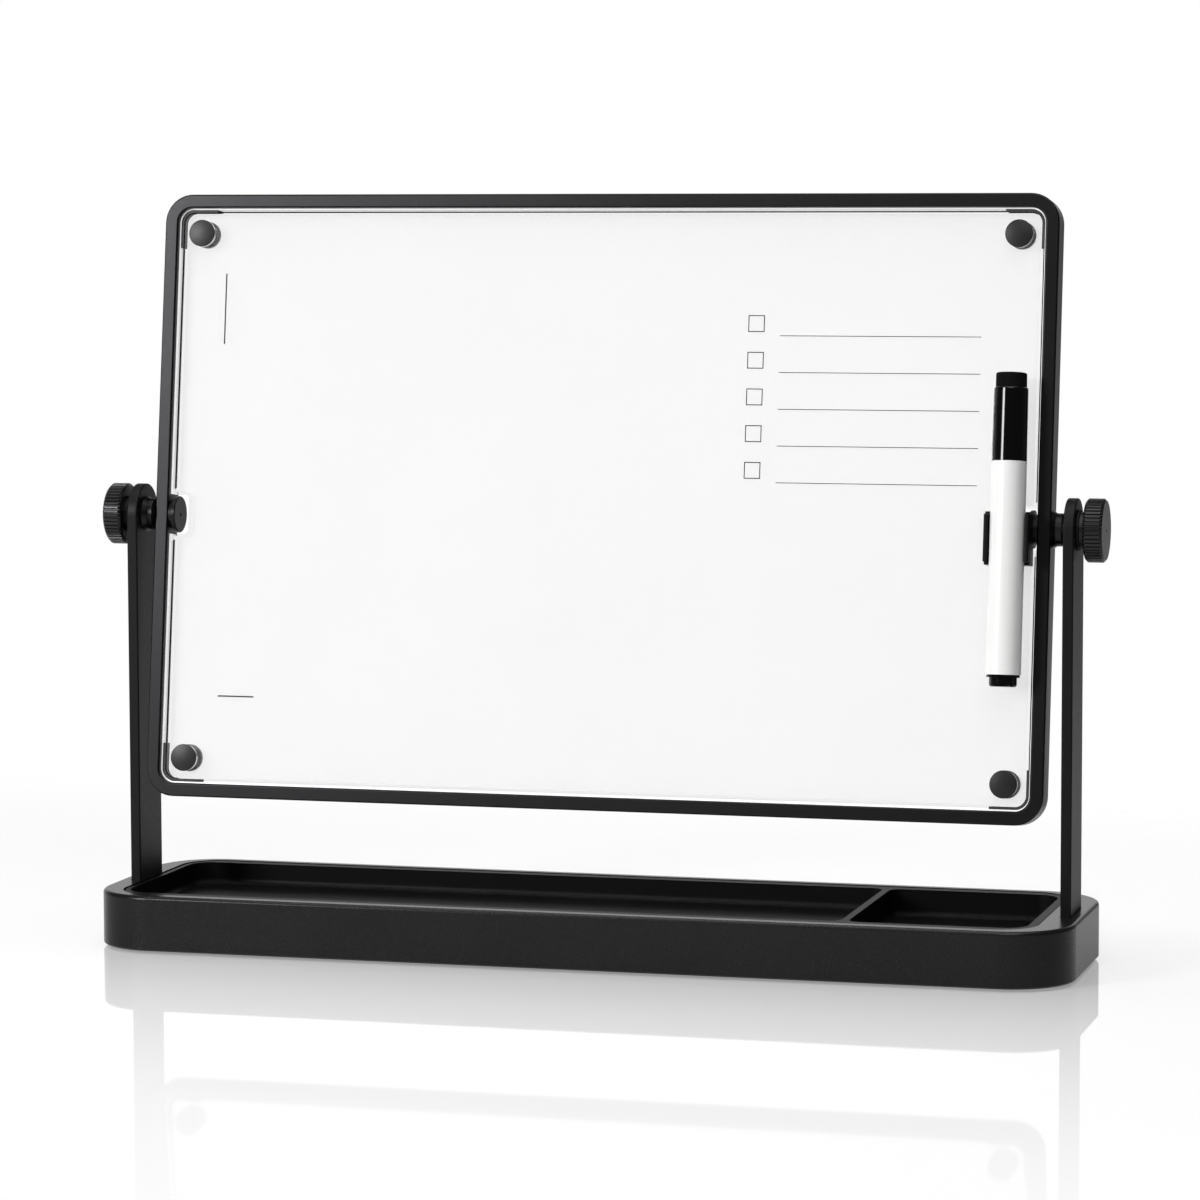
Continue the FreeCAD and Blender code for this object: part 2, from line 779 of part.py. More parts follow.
def make_nib_holder():
    """Collar that the cap seals on, cone above it, spigot in the tube, bored through for the nib."""
    nib_bore = nib_diameter / 2 + core_fit
    return on_marker((
        (nib_bore, barrel_top - holder_spigot_length),
        (bore_radius - core_fit, barrel_top - holder_spigot_length),
        (bore_radius - core_fit, barrel_top),
        (holder_collar_radius, barrel_top),
        (holder_collar_radius, holder_shoulder),
        (holder_tip_diameter / 2, holder_tip),
        (nib_bore, holder_tip),
    ))


def make_marker_nib():
    """Felt rod with a tapered bullet tip."""
    tail = barrel_top - nib_tail
    tip = holder_tip + nib_reach
    return on_marker((
        (0, tail),
        (nib_diameter / 2, tail),
        (nib_diameter / 2, tip - nib_tip_length),
        (nib_tip_diameter / 2, tip),
        (0, tip),
    ))


def make_ink_core():
    """Fibre reservoir between the plug and the nib."""
    low = barrel_bottom + plug_spigot_length + core_end_gap
    high = barrel_top - nib_tail - core_end_gap
    return on_marker(((0, low), (core_diameter / 2, low), (core_diameter / 2, high), (0, high)))


def make_marker_cap():
    """Slightly tapered cap, hollow, with a rounded crown and a spigot for the eraser."""
    inside = holder_collar_radius + running_clearance
    crown = cap_top_diameter / 2
    roof = cap_top - cap_wall
    cap = on_marker((
        (inside, cap_bottom),
        (marker_radius, cap_bottom),
        (crown, cap_top),
        (cap_spigot_diameter / 2, cap_top),
        (cap_spigot_diameter / 2, cap_top + cap_spigot_height),
        (0, cap_top + cap_spigot_height),
        (0, roof),
        (inside, roof),
    ))
    rim = [edge for edge in edges_at_height(cap, cap_top) if edge.BoundBox.XLength > cap_spigot_diameter + cap_wall]
    return cap.makeFillet(cap_edge_radius, rim)


def make_marker_eraser():
    """Felt disc with a soft upper edge, pushed on the cap's spigot."""
    radius = eraser_diameter / 2
    top = cap_top + eraser_length
    socket = cap_spigot_diameter / 2 + core_fit
    roof = cap_top + cap_spigot_height + core_fit
    eraser = on_marker((
        (socket, cap_top),
        (radius, cap_top),
        (radius, top),
        (0, top),
        (0, roof),
        (socket, roof),
    ))
    return eraser.makeFillet(eraser_edge_radius, edges_at_height(eraser, top))


def make_marker_clip():
    """Open spring clip: block on the tape, two arms past the marker's widest line, hollowed round the bolt's head."""
    low = -clip_centre_drop - clip_height / 2
    high = low + clip_height
    arm_low = -clip_centre_drop - clip_arm_height / 2
    arm_high = arm_low + clip_arm_height
    lip = marker_y - clip_lip_reach
    clip = block(marker_x - clip_half_width, marker_x + clip_half_width, marker_y, tape_front, low, high)
    for side in SIDES.values():
        near = marker_x + side * clip_bore_radius
        far = marker_x + side * clip_half_width
        arm = block(min(near, far), max(near, far), lip, marker_y, arm_low, arm_high)
        clip = clip.fuse(arm.makeFillet(clip_edge_radius, edges_at_depth(arm, lip)))
    clip = clip.cut(rod_z(clip_bore_radius * 2, marker_x, marker_y, low - overrun, high + overrun))
    relief = rod_x(bolt_head_diameter + clip_bolt_clearance * 2, bolt_head_face - clip_bolt_clearance, frame_inner)
    return clip.cut(relief).removeSplitter()


def make_clip_tape():
    """Foam tape between the clip and the pane, stopped short of the notch's bevel."""
    left = marker_x - clip_half_width + tape_border
    right = notch_floor - pane_edge_chamfer - tape_border
    middle = -clip_centre_drop
    tall = clip_height / 2 - tape_border
    return block(left, right, tape_front, pane_front, middle - tall, middle + tall)


def magnet_places():
    """The four corners of the pane, by name, as (x, z) in the board's frame."""
    reach = pane_edge - magnet_inset
    high = pane_top - magnet_inset
    low = pane_bottom + magnet_inset
    return {
        "top_left": (-reach, high),
        "top_right": (reach, high),
        "bottom_left": (-reach, low),
        "bottom_right": (reach, low),
    }


def make_magnet_disc(x, z):
    """Plated disc that lies on the pane."""
    radius = magnet_diameter / 2
    profile = (
        (0, 0),
        (radius - magnet_chamfer, 0),
        (radius, magnet_chamfer),
        (radius, magnet_thickness),
        (0, magnet_thickness),
    )
    return turned(profile, point(x, magnet_back, z), -Y_AXIS, X_AXIS)


def make_magnet_cap(x, z):
    """Black cap over the plated disc, with a crowned face and a softened rim."""
    radius = magnet_cap_diameter / 2
    face = magnet_front - magnet_cap_thickness
    ball_radius = (radius ** 2 + magnet_cap_crown ** 2) / (magnet_cap_crown * 2)
    cap = Part.makeCylinder(radius, magnet_cap_thickness, point(x, magnet_front, z), -Y_AXIS)
    cap = cap.common(Part.makeSphere(ball_radius, point(x, face + ball_radius, z)))
    return cap.makeFillet(magnet_cap_edge_radius, edges_at_depth(cap, face + magnet_cap_crown))


def make_rear_keepers():
    """Steel discs bonded behind the pane, one for each magnet."""
    radius = keeper_diameter / 2
    profile = (
        (0, 0),
        (radius, 0),
        (radius, keeper_thickness - keeper_edge_chamfer),
        (radius - keeper_edge_chamfer, keeper_thickness),
        (0, keeper_thickness),
    )
    return [turned(profile, point(x, pane_back, z), Y_AXIS, X_AXIS) for x, z in magnet_places().values()]


def all_parts():
    """Every piece by its node's name; a list is a group of like solids in one node."""
    parts = {
        "base_shell": make_base_shell(),
        "tray_insert": make_tray_insert(),
        "base_plate": make_base_plate(),
        "plate_screws": make_plate_screws(),
        "upright_screws": make_upright_screws(),
        "rubber_feet": make_rubber_feet(),
    }
    board = {
        "board_frame": make_board_frame(),
        "clear_pane": make_clear_pane(),
        "corner_pads": make_corner_pads(),
        "edge_seals": make_edge_seals(),
        "marker_clip": make_marker_clip(),
        "clip_tape": make_clip_tape(),
        "rear_keepers": make_rear_keepers(),
        "marker_barrel": make_marker_barrel(),
        "marker_end_plug": make_marker_end_plug(),
        "marker_nib_holder": make_nib_holder(),
        "marker_nib": make_marker_nib(),
        "marker_ink_core": make_ink_core(),
        "marker_cap": make_marker_cap(),
        "marker_eraser": make_marker_eraser(),
    }
    for name, side in SIDES.items():
        parts["upright_" + name] = make_upright(side)
        parts["friction_washer_" + name] = make_friction_washer(side)
        parts["knob_" + name] = make_knob(side)
        parts["knob_insert_" + name] = make_knob_insert(side)
        board["pivot_bolt_" + name] = make_pivot_bolt(side)
        board["pivot_bush_" + name] = make_pivot_bush(side)
    for place, (x, z) in magnet_places().items():
        board["magnet_disc_" + place] = make_magnet_disc(x, z)
        board["magnet_cap_" + place] = make_magnet_cap(x, z)
    for name, shape in board.items():
        group = shape if isinstance(shape, list) else [shape]
        placed = [on_board(solid) for solid in group]
        parts[name] = placed if isinstance(shape, list) else placed[0]
    return parts


os.makedirs("parts", exist_ok=True)
for node, piece in all_parts().items():
    solid = Part.makeCompound(piece) if isinstance(piece, list) else piece
    solid.exportStep(os.path.join("parts", node + ".step"))
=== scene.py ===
import math

import bpy
import numpy as np
from mathutils import Matrix, Vector


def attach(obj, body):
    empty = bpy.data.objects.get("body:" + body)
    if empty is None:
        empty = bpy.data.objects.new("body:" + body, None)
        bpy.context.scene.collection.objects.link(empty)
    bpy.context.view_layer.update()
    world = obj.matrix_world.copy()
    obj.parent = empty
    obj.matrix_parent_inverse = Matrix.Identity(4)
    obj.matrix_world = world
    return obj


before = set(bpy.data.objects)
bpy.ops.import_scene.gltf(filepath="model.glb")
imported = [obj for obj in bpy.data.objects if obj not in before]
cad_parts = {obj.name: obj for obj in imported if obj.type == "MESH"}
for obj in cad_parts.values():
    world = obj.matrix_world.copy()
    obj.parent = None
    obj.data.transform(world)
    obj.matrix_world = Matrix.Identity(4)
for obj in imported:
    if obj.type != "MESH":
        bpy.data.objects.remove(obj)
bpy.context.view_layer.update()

# Weight plate in the base: mild steel sheet, laser cut and powder coated.
# It lies inside the shell's rim, where the plate screws pull it against the bosses.


def linear(code):
    """An sRGB hex value as linear RGBA."""
    srgb = np.array([int(code[i:i + 2], 16) for i in (1, 3, 5)]) / 255
    rgb = np.where(srgb <= 0.04045, srgb / 12.92, ((srgb + 0.055) / 1.055) ** 2.4)
    return (*rgb.tolist(), 1.0)


def add(tree, kind, inputs=None, **settings):
    """One node: settings are its own properties, inputs give a socket's value or the output feeding it."""
    node = tree.nodes.new(kind)
    for name, value in settings.items():
        setattr(node, name, value)
    for name, value in (inputs or {}).items():
        if isinstance(value, bpy.types.NodeSocket):
            tree.links.new(value, node.inputs[name])
        else:
            node.inputs[name].default_value = value
    return node


def empty_material(name):
    """A node material with that name and nothing in it yet, and its tree."""
    material = bpy.data.materials.new(name)
    material.use_nodes = True
    material.node_tree.nodes.clear()
    return material, material.node_tree


def dress(material, *names):
    """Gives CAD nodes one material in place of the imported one."""
    for name in names:
        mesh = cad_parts[name].data
        mesh.materials.clear()
        mesh.materials.append(material)


def surface(material, tree, place, relief, dark, light, roughness, depth_mm, cloud_mm, **sockets):
    """Finishes a material: relief, from 0 to 1, lifts the skin by depth_mm and moves its roughness between
    two values, and clouds of cloud_mm move its colour between a dark and a light one."""
    relief_low, relief_high = 0.3, 0.7
    cloud = add(tree, "ShaderNodeTexNoise", {"Vector": place, "Scale": 1000 / cloud_mm, "Detail": 4.0})
    tint = add(tree, "ShaderNodeMix", {0: cloud.outputs["Fac"], 6: linear(dark), 7: linear(light)},
               data_type="RGBA")
    rough = add(tree, "ShaderNodeMapRange",
                {"Value": relief, "From Min": relief_low, "From Max": relief_high,
                 "To Min": roughness[0], "To Max": roughness[1]})
    bump = add(tree, "ShaderNodeBump", {"Height": relief, "Strength": 1.0, "Distance": depth_mm / 1000})
    shader = add(tree, "ShaderNodeBsdfPrincipled",
                 {"Base Color": tint.outputs[2], "Roughness": rough.outputs[0], "Normal": bump.outputs[0],
                  **sockets})
    add(tree, "ShaderNodeOutputMaterial", {"Surface": shader.outputs[0]})
    return material


def grained(name, dark, light, roughness, grain_mm, depth_mm, cloud_mm, **sockets):
    """A skin of even grain, grain_mm from bump to bump."""
    material, tree = empty_material(name)
    place = add(tree, "ShaderNodeTexCoord").outputs["Object"]
    grain = add(tree, "ShaderNodeTexNoise", {"Vector": place, "Scale": 1000 / grain_mm, "Detail": 3.0})
    return surface(material, tree, place, grain.outputs["Fac"], dark, light, roughness,
                   depth_mm, cloud_mm, **sockets)


# Powder coat melts to a fine orange peel: a low sheen broken by soft bumps about 0.7 mm apart.
plate_coat = grained("powder_coated_plate", "#1c1c1d", "#262627", roughness=(0.5, 0.6),
                     grain_mm=0.7, depth_mm=0.02, cloud_mm=30)
dress(plate_coat, "base_plate")

# Uprights: flat steel bars, 25 by 4.3 mm, with a foot bent to lie on the plate and a round top drilled
# for the pivot. They are powder coated black after bending; their orange peel is drawn a little coarser
# than real so that it shows.
upright_coat = grained("powder_coated_steel", "#0a0a0b", "#111112", roughness=(0.4, 0.52),
                       grain_mm=0.6, depth_mm=0.015, cloud_mm=40, **{"Specular IOR Level": 0.16})
dress(upright_coat, "upright_left", "upright_right")

# Screws under the plate: zinc-plated steel, countersunk, four for the uprights and six for the shell.
# Plating gives a pale blue-grey shine with a slightly uneven bloom.
screw_zinc = grained("zinc_plated_steel", "#8c9095", "#a3a6aa", roughness=(0.28, 0.4),
                     grain_mm=0.4, depth_mm=0.01, cloud_mm=6, Metallic=1.0)
dress(screw_zinc, "plate_screws", "upright_screws")

# Rubber feet: four low discs of moulded black rubber stuck under the plate.
# Rubber is matt with a dusty bloom.
foot_rubber = grained("moulded_rubber", "#141414", "#222222", roughness=(0.75, 0.9),
                      grain_mm=0.5, depth_mm=0.02, cloud_mm=8)
dress(foot_rubber, "rubber_feet")

# Base shell: a rounded box moulded in ABS, which hides the plate and carries the tray.
# A spark-eroded mould leaves a satin skin with a shallow grain of about half a millimetre.
base_abs = grained("spark_eroded_abs", "#090a0a", "#161617", roughness=(0.24, 0.34),
                   grain_mm=0.5, depth_mm=0.005, cloud_mm=60, **{"Specular IOR Level": 0.25})
dress(base_abs, "base_shell")

# Tray: a separate ABS moulding dropped into the shell's rebate, with a long and a small pocket.
# Its skin is duller than the shell's, so the pockets stay deep black.
tray_abs = grained("fine_grained_abs", "#040405", "#09090a", roughness=(0.42, 0.52),
                   grain_mm=0.5, depth_mm=0.008, cloud_mm=50, **{"Specular IOR Level": 0.1})
dress(tray_abs, "tray_insert")

# Board frame and its pivot bushes: aluminium bar, bent and welded, bead blasted and black anodised.
# The dyed oxide keeps the metal's satin: it is as bright as what it mirrors, with a fine blasted grain.
frame_anodised = grained("black_anodised_aluminium", "#232324", "#2b2b2c", roughness=(0.32, 0.4),
                         grain_mm=0.5, depth_mm=0.01, cloud_mm=60, Metallic=1.0)
dress(frame_anodised, "board_frame", "pivot_bush_left", "pivot_bush_right")

# Liner inside the frame: extruded silicone, translucent white, pressed against the bar on two lengths.
# Its white emission is a painted glow, though the liner is no lamp: it makes the thin white line beside
# the pane.
white = (1, 1, 1, 1)
# Painted glow: the white emission of strength 0.5 lights the liner's thin white line.
liner_painted_glow = grained("translucent_silicone_painted_glow", "#e6e8e8", "#f2f3f3", roughness=(0.35, 0.5),
                         grain_mm=1.0, depth_mm=0.01, cloud_mm=20,
                         **{"Subsurface Weight": 0.4, "Subsurface Radius": (0.002, 0.002, 0.002),
                            "Emission Color": white, "Emission Strength": 0.5})
dress(liner_painted_glow, "edge_seals")

# Corner pads: soft black rubber channels that hold the pane's corners off the liner.
# Their skin is matt, with a slight shine where the mould was smooth.
pad_rubber = grained("soft_moulded_rubber", "#232324", "#313132", roughness=(0.5, 0.65),
                     grain_mm=0.5, depth_mm=0.01, cloud_mm=6)
dress(pad_rubber, "corner_pads")

# Pane: 6 mm cast acrylic with polished faces and bevelled edges, held by the corner pads.
# It is clear and lets lamp light through, and its writing coat scatters a little light. Its outer side
# faces are painted near black, a painted reflection of the dark frame; the polished notches at the pivots
# show no edge.
board_tilt = math.radians(7.5)
pivot_mm = 174.0
notch_half_mm = 10.5
wiped_mm = 90
side_limit, bevel_limit = 0.5, 0.9
pane_acrylic, tree = empty_material("cast_acrylic")
place = add(tree, "ShaderNodeTexCoord").outputs["Object"]
wiped = add(tree, "ShaderNodeTexNoise", {"Vector": place, "Scale": 1000 / wiped_mm, "Detail": 2.0})
tint = add(tree, "ShaderNodeMix", {0: wiped.outputs["Fac"], 6: linear("#f3f3f3"), 7: linear("#f7f7f7")},
           data_type="RGBA")
glass = add(tree, "ShaderNodeBsdfPrincipled", {"Base Color": tint.outputs[2], "Roughness": 0.0,
                                               "IOR": 1.49, "Transmission Weight": 0.88})
clear = add(tree, "ShaderNodeBsdfTransparent", {"Color": linear("#f6f6f6")})
# Painted reflection: the outer side faces are drawn near black, standing in for the dark frame mirrored in
# the polished edge.
painted_dark_edge = add(tree, "ShaderNodeBsdfDiffuse", {"Color": linear("#0a0a0a")})
board_front = (0, -math.cos(board_tilt), math.sin(board_tilt))
normal = add(tree, "ShaderNodeTexCoord").outputs["Normal"]
facing = add(tree, "ShaderNodeVectorMath", {0: normal, 1: board_front}, operation="DOT_PRODUCT")
flat = add(tree, "ShaderNodeMath", {0: facing.outputs["Value"]}, operation="ABSOLUTE").outputs[0]
height = add(tree, "ShaderNodeSeparateXYZ", {0: place}).outputs["Z"]
above_pivot = add(tree, "ShaderNodeMath", {0: height, 1: pivot_mm / 1000}, operation="SUBTRACT")
off_pivot = add(tree, "ShaderNodeMath", {0: above_pivot.outputs[0]}, operation="ABSOLUTE")
past_notch = add(tree, "ShaderNodeMath", {0: off_pivot.outputs[0], 1: notch_half_mm / 1000},
                 operation="GREATER_THAN")
side_face = add(tree, "ShaderNodeMath", {0: flat, 1: side_limit}, operation="LESS_THAN")
outer = add(tree, "ShaderNodeMath", {0: side_face.outputs[0], 1: past_notch.outputs[0]},
            operation="MULTIPLY")
rim = add(tree, "ShaderNodeMixShader",
          {0: outer.outputs[0], 1: clear.outputs[0], 2: painted_dark_edge.outputs[0]})
turned_away = add(tree, "ShaderNodeMath", {0: flat, 1: bevel_limit}, operation="LESS_THAN")
sheet = add(tree, "ShaderNodeMixShader",
            {0: turned_away.outputs[0], 1: glass.outputs[0], 2: rim.outputs[0]})
lamp_ray = add(tree, "ShaderNodeLightPath").outputs["Is Shadow Ray"]
mixed = add(tree, "ShaderNodeMixShader", {0: lamp_ray, 1: sheet.outputs[0], 2: clear.outputs[0]})
add(tree, "ShaderNodeOutputMaterial", {"Surface": mixed.outputs[0]})
dress(pane_acrylic, "clear_pane")

# Printed guides on the pane's front: tick boxes, writing rules, a margin rule and a short dash.
# Screen-printed black ink, a film a few hundredths of a millimetre thick. Places are in millimetres from
# the middle of the pivots' axis, across and up the board.
pivot = np.array([0.0, 0.0, pivot_mm])
board_axes = np.array([[1, 0, 0], [0, math.cos(board_tilt), -math.sin(board_tilt)],
                       [0, math.sin(board_tilt), math.cos(board_tilt)]])
pane_front_mm = -3.0
ink_mm = 0.03


def mesh_piece(name, vertices, faces, material, body, slot):
    """A new piece from arrays of vertices in millimetres and of faces, riding on a body."""
    mesh = bpy.data.meshes.new(name)
    mesh.from_pydata((np.asarray(vertices) / 1000).tolist(), [], np.asarray(faces).tolist())
    mesh.validate()
    mesh.materials.append(material)
    piece = bpy.data.objects.new(name, mesh)
    bpy.context.scene.collection.objects.link(piece)
    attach(piece, body)


def ink_strips(strips):
    """Thin bars on the pane: each (x0, x1, z0, z1) row scales a unit box, and the board's axes tilt it."""
    strips = np.asarray(strips, float)
    unit = np.indices((2, 2, 2)).reshape(3, -1).T
    deep = np.full(len(strips), ink_mm)
    low = np.stack([strips[:, 0], pane_front_mm - deep, strips[:, 2]], 1)
    span = np.stack([strips[:, 1] - strips[:, 0], deep, strips[:, 3] - strips[:, 2]], 1)
    local = (low[:, None] + span[:, None] * unit).reshape(-1, 3)
    sides = np.array([[0, 1, 3, 2], [4, 6, 7, 5], [0, 4, 5, 1],
                      [2, 3, 7, 6], [0, 2, 6, 4], [1, 5, 7, 3]])
    faces = (sides + len(unit) * np.arange(len(strips))[:, None, None]).reshape(-1, 4)
    return pivot + local @ board_axes, faces


ink = grained("screen_printed_ink", "#141416", "#1e1e20", roughness=(0.5, 0.6),
              grain_mm=0.8, depth_mm=0.002, cloud_mm=12)
row_count, row_mm = 5, 14.6
rows = np.arange(row_count) * row_mm
box_mm, box_line_mm = 6.7, 0.4
box_centre_x, top_box_z = 64.8, 79.7
left = np.full(row_count, box_centre_x - box_mm / 2)
low_edge = top_box_z - box_mm / 2 - rows
right, high_edge = left + box_mm, low_edge + box_mm
boxes = np.concatenate([
    np.stack([left, right, low_edge, low_edge + box_line_mm], 1),
    np.stack([left, right, high_edge - box_line_mm, high_edge], 1),
    np.stack([left, left + box_line_mm, low_edge + box_line_mm, high_edge - box_line_mm], 1),
    np.stack([right - box_line_mm, right, low_edge + box_line_mm, high_edge - box_line_mm], 1)])
mesh_piece("tick_boxes", *ink_strips(boxes), ink, "board", "marker_black_plastic")
rule_mm = 0.3
rule_start_x, rule_end_x, top_rule_z = 74.5, 155.4, 74.9
rule_z = top_rule_z - rows
rules = np.stack([np.full(row_count, rule_start_x), np.full(row_count, rule_end_x),
                  rule_z - rule_mm / 2, rule_z + rule_mm / 2], 1)
mesh_piece("writing_rules", *ink_strips(rules), ink, "board", "marker_black_plastic")
margin_rule = (-159.35, -158.75, 70.0, 99.0)
short_dash = (-156.6, -141.2, -74.5, -73.9)
mesh_piece("margin_rule_and_dash", *ink_strips([margin_rule, short_dash]), ink,
           "board", "marker_black_plastic")

# Memo magnets: nickel-plated discs under crowned black caps on the pane, and coated steel keepers bonded
# behind it. The nickel is bright; the caps are satin moulded plastic.
corners = ("top_left", "top_right", "bottom_left", "bottom_right")
magnet_nickel = grained("bright_nickel", "#c9c8c4", "#dddcd8", roughness=(0.12, 0.2),
                        grain_mm=0.5, depth_mm=0.002, cloud_mm=4, Metallic=1.0)
dress(magnet_nickel, *("magnet_disc_" + corner for corner in corners))
magnet_black = grained("satin_black_abs", "#0f0f10", "#161617", roughness=(0.36, 0.46),
                       grain_mm=0.4, depth_mm=0.006, cloud_mm=8, **{"Specular IOR Level": 0.35})
dress(magnet_black, *("magnet_cap_" + corner for corner in corners))
keeper_black = grained("coated_keeper_steel", "#1e1e1f", "#282829", roughness=(0.45, 0.55),
                       grain_mm=0.5, depth_mm=0.006, cloud_mm=8)
dress(keeper_black, "rear_keepers")

# Marker clip and its tape: a spring clip moulded in polypropylene, stuck to the pane with black foam tape.
# The clip has a smooth, slightly waxy shine; the tape shows open cells at its cut edge.
clip_pp = grained("moulded_polypropylene", "#050506", "#0a0a0b", roughness=(0.36, 0.46),
                  grain_mm=0.5, depth_mm=0.006, cloud_mm=15, **{"Specular IOR Level": 0.16})
dress(clip_pp, "marker_clip")
foam_cell_mm = 0.4
tape_foam, tree = empty_material("foam_tape")
place = add(tree, "ShaderNodeTexCoord").outputs["Object"]
cells = add(tree, "ShaderNodeTexVoronoi", {"Vector": place, "Scale": 1000 / foam_cell_mm})
surface(tape_foam, tree, place, cells.outputs["Distance"], "#181818", "#242424", roughness=(0.8, 0.9),
        depth_mm=0.1, cloud_mm=4)
dress(tape_foam, "clip_tape")

# Marker: a white extruded tube with a gloss black plug and cap, felt eraser and nib, and a fibre core.
# Extrusion and moulding leave faint draw lines along the tube and the cap, drawn coarser than real.


def drawn(name, dark, light, roughness, line_mm, depth_mm, cloud_mm, **sockets):
    """A skin with fine lines along the board's height: noise of line_mm, pulled out along that axis."""
    stretch = 60
    material, tree = empty_material(name)
    place = add(tree, "ShaderNodeTexCoord").outputs["Object"]
    along = add(tree, "ShaderNodeMapping",
                {"Vector": place, "Rotation": (-board_tilt, 0, 0), "Scale": (1, 1, stretch)},
                vector_type="TEXTURE")
    lines = add(tree, "ShaderNodeTexNoise",
                {"Vector": along.outputs[0], "Scale": 1000 / line_mm, "Detail": 2.0})
    return surface(material, tree, place, lines.outputs["Fac"], dark, light, roughness,
                   depth_mm, cloud_mm, **sockets)


tube_white = drawn("extruded_white_polypropylene", "#f3f3f2", "#f9f9f8", roughness=(0.26, 0.34),
                   line_mm=0.9, depth_mm=0.003, cloud_mm=25)
dress(tube_white, "marker_barrel")
cap_gloss = drawn("gloss_black_polystyrene", "#020202", "#050505", roughness=(0.08, 0.14),
                  line_mm=0.9, depth_mm=0.002, cloud_mm=25, **{"Specular IOR Level": 0.3})
dress(cap_gloss, "marker_cap", "marker_end_plug")
holder_pp = grained("nib_holder_polypropylene", "#141415", "#1a1a1b", roughness=(0.3, 0.4),
                    grain_mm=0.6, depth_mm=0.004, cloud_mm=10)
dress(holder_pp, "marker_nib_holder")
felt = grained("pressed_felt", "#050505", "#141414", roughness=(0.9, 1.0),
               grain_mm=0.45, depth_mm=0.08, cloud_mm=3, **{"Specular IOR Level": 0.1})
dress(felt, "marker_eraser", "marker_nib")
core_fibre = drawn("polyester_fibre_core", "#202026", "#2c2c34", roughness=(0.8, 0.9),
                   line_mm=0.4, depth_mm=0.05, cloud_mm=4)
dress(core_fibre, "marker_ink_core")

# Pivot bolts: turned steel with a flat round head inside the frame, blacked by an oxide bath.
# Turning leaves rings round the centre mark, drawn coarser than the real feed so that they show.


def turned(name, dark, light, roughness, ring_mm, depth_mm, cloud_mm, **sockets):
    """A turned skin: a sine of the distance from the pivot's axis gives rings ring_mm apart."""
    material, tree = empty_material(name)
    place = add(tree, "ShaderNodeTexCoord").outputs["Object"]
    radial = add(tree, "ShaderNodeMapping",
                 {"Vector": place, "Location": (0, 0, -pivot_mm / 1000), "Scale": (0, 1, 1)})
    reach = add(tree, "ShaderNodeVectorMath", {0: radial.outputs[0]}, operation="LENGTH")
    angle = add(tree, "ShaderNodeMath", {0: reach.outputs["Value"], 1: math.tau * 1000 / ring_mm},
                operation="MULTIPLY")
    wave = add(tree, "ShaderNodeMath", {0: angle.outputs[0]}, operation="SINE")
    rings = add(tree, "ShaderNodeMapRange", {"Value": wave.outputs[0], "From Min": -1.0, "From Max": 1.0})
    return surface(material, tree, place, rings.outputs[0], dark, light, roughness,
                   depth_mm, cloud_mm, **sockets)


bolt_oxide = turned("black_oxide_steel", "#222223", "#2a2a2b", roughness=(0.36, 0.44),
                    ring_mm=0.7, depth_mm=0.003, cloud_mm=12, Metallic=1.0)
dress(bolt_oxide, "pivot_bolt_left", "pivot_bolt_right")

# Friction washers: punched black nylon between the uprights and the knobs.
# Nylon is dull and a little waxy.
washer_nylon = grained("punched_nylon", "#0b0b0b", "#121212", roughness=(0.5, 0.6),
                       grain_mm=0.4, depth_mm=0.01, cloud_mm=8, **{"Specular IOR Level": 0.22})
dress(washer_nylon, "friction_washer_left", "friction_washer_right")

# Knobs: turned aluminium with straight flutes milled round the grip, black anodised, and brass inserts
# pressed in. The faces keep faint turning rings round their centre mark.
knob_anodised = turned("black_anodised_turning", "#303031", "#3a3a3b", roughness=(0.34, 0.42),
                       ring_mm=0.7, depth_mm=0.003, cloud_mm=10, Metallic=1.0)
dress(knob_anodised, "knob_left", "knob_right")
insert_brass = turned("turned_brass", "#b08a45", "#c29c56", roughness=(0.25, 0.35),
                      ring_mm=0.5, depth_mm=0.004, cloud_mm=5, Metallic=1.0)
dress(insert_brass, "knob_insert_left", "knob_insert_right")

# Studio: a white table and a white wall behind it, with soft lamps at the left, high in front and above.
# The table is polished under the board and dull further out, so its mirror image fades away from the base.
# Reflections see the stage darker at the right and towards the wall's ends, which keeps black sides dark.
bpy.context.scene.view_settings.view_transform = "Standard"
world_level = 0.11


def stage_plane(name, corners_m, material):
    """A flat four-cornered sheet of the stage."""
    mesh = bpy.data.meshes.new(name)
    mesh.from_pydata(corners_m, [], [(0, 1, 2, 3)])
    mesh.materials.append(material)
    sheet = bpy.data.objects.new(name, mesh)
    bpy.context.scene.collection.objects.link(sheet)


def seen_ray(tree):
    """1 for a ray that shows the stage: straight to the camera, in a reflection or through the pane."""
    path = add(tree, "ShaderNodeLightPath")
    seen = add(tree, "ShaderNodeMath",
               {0: path.outputs["Is Camera Ray"], 1: path.outputs["Is Glossy Ray"]}, operation="MAXIMUM")
    return add(tree, "ShaderNodeMath", {0: seen.outputs[0], 1: path.outputs["Is Transmission Ray"]},
               operation="MAXIMUM").outputs[0]


def fade(tree, axis, full_m, gone_m):
    """A share along an axis of the stage: 1 before full_m, 0 past gone_m, a smooth step between."""
    place = add(tree, "ShaderNodeTexCoord").outputs["Object"]
    along = add(tree, "ShaderNodeSeparateXYZ", {0: place}).outputs[axis]
    low, high = sorted((full_m, gone_m))
    first = float(full_m < gone_m)
    return add(tree, "ShaderNodeMapRange", {"Value": along, "From Min": low, "From Max": high,
                                            "To Min": first, "To Max": 1 - first},
               interpolation_type="SMOOTHSTEP").outputs[0]


def dimmed(tree, share, least):
    """A level of 1, which for a ray from a reflection drops to least as share goes from 1 to 0."""
    level = add(tree, "ShaderNodeMapRange", {"Value": share, "To Min": least, "To Max": 1.0})
    reflected = add(tree, "ShaderNodeLightPath").outputs["Is Glossy Ray"]
    return add(tree, "ShaderNodeMix", {0: reflected, 2: 1.0, 3: level.outputs[0]},
               data_type="FLOAT").outputs[0]


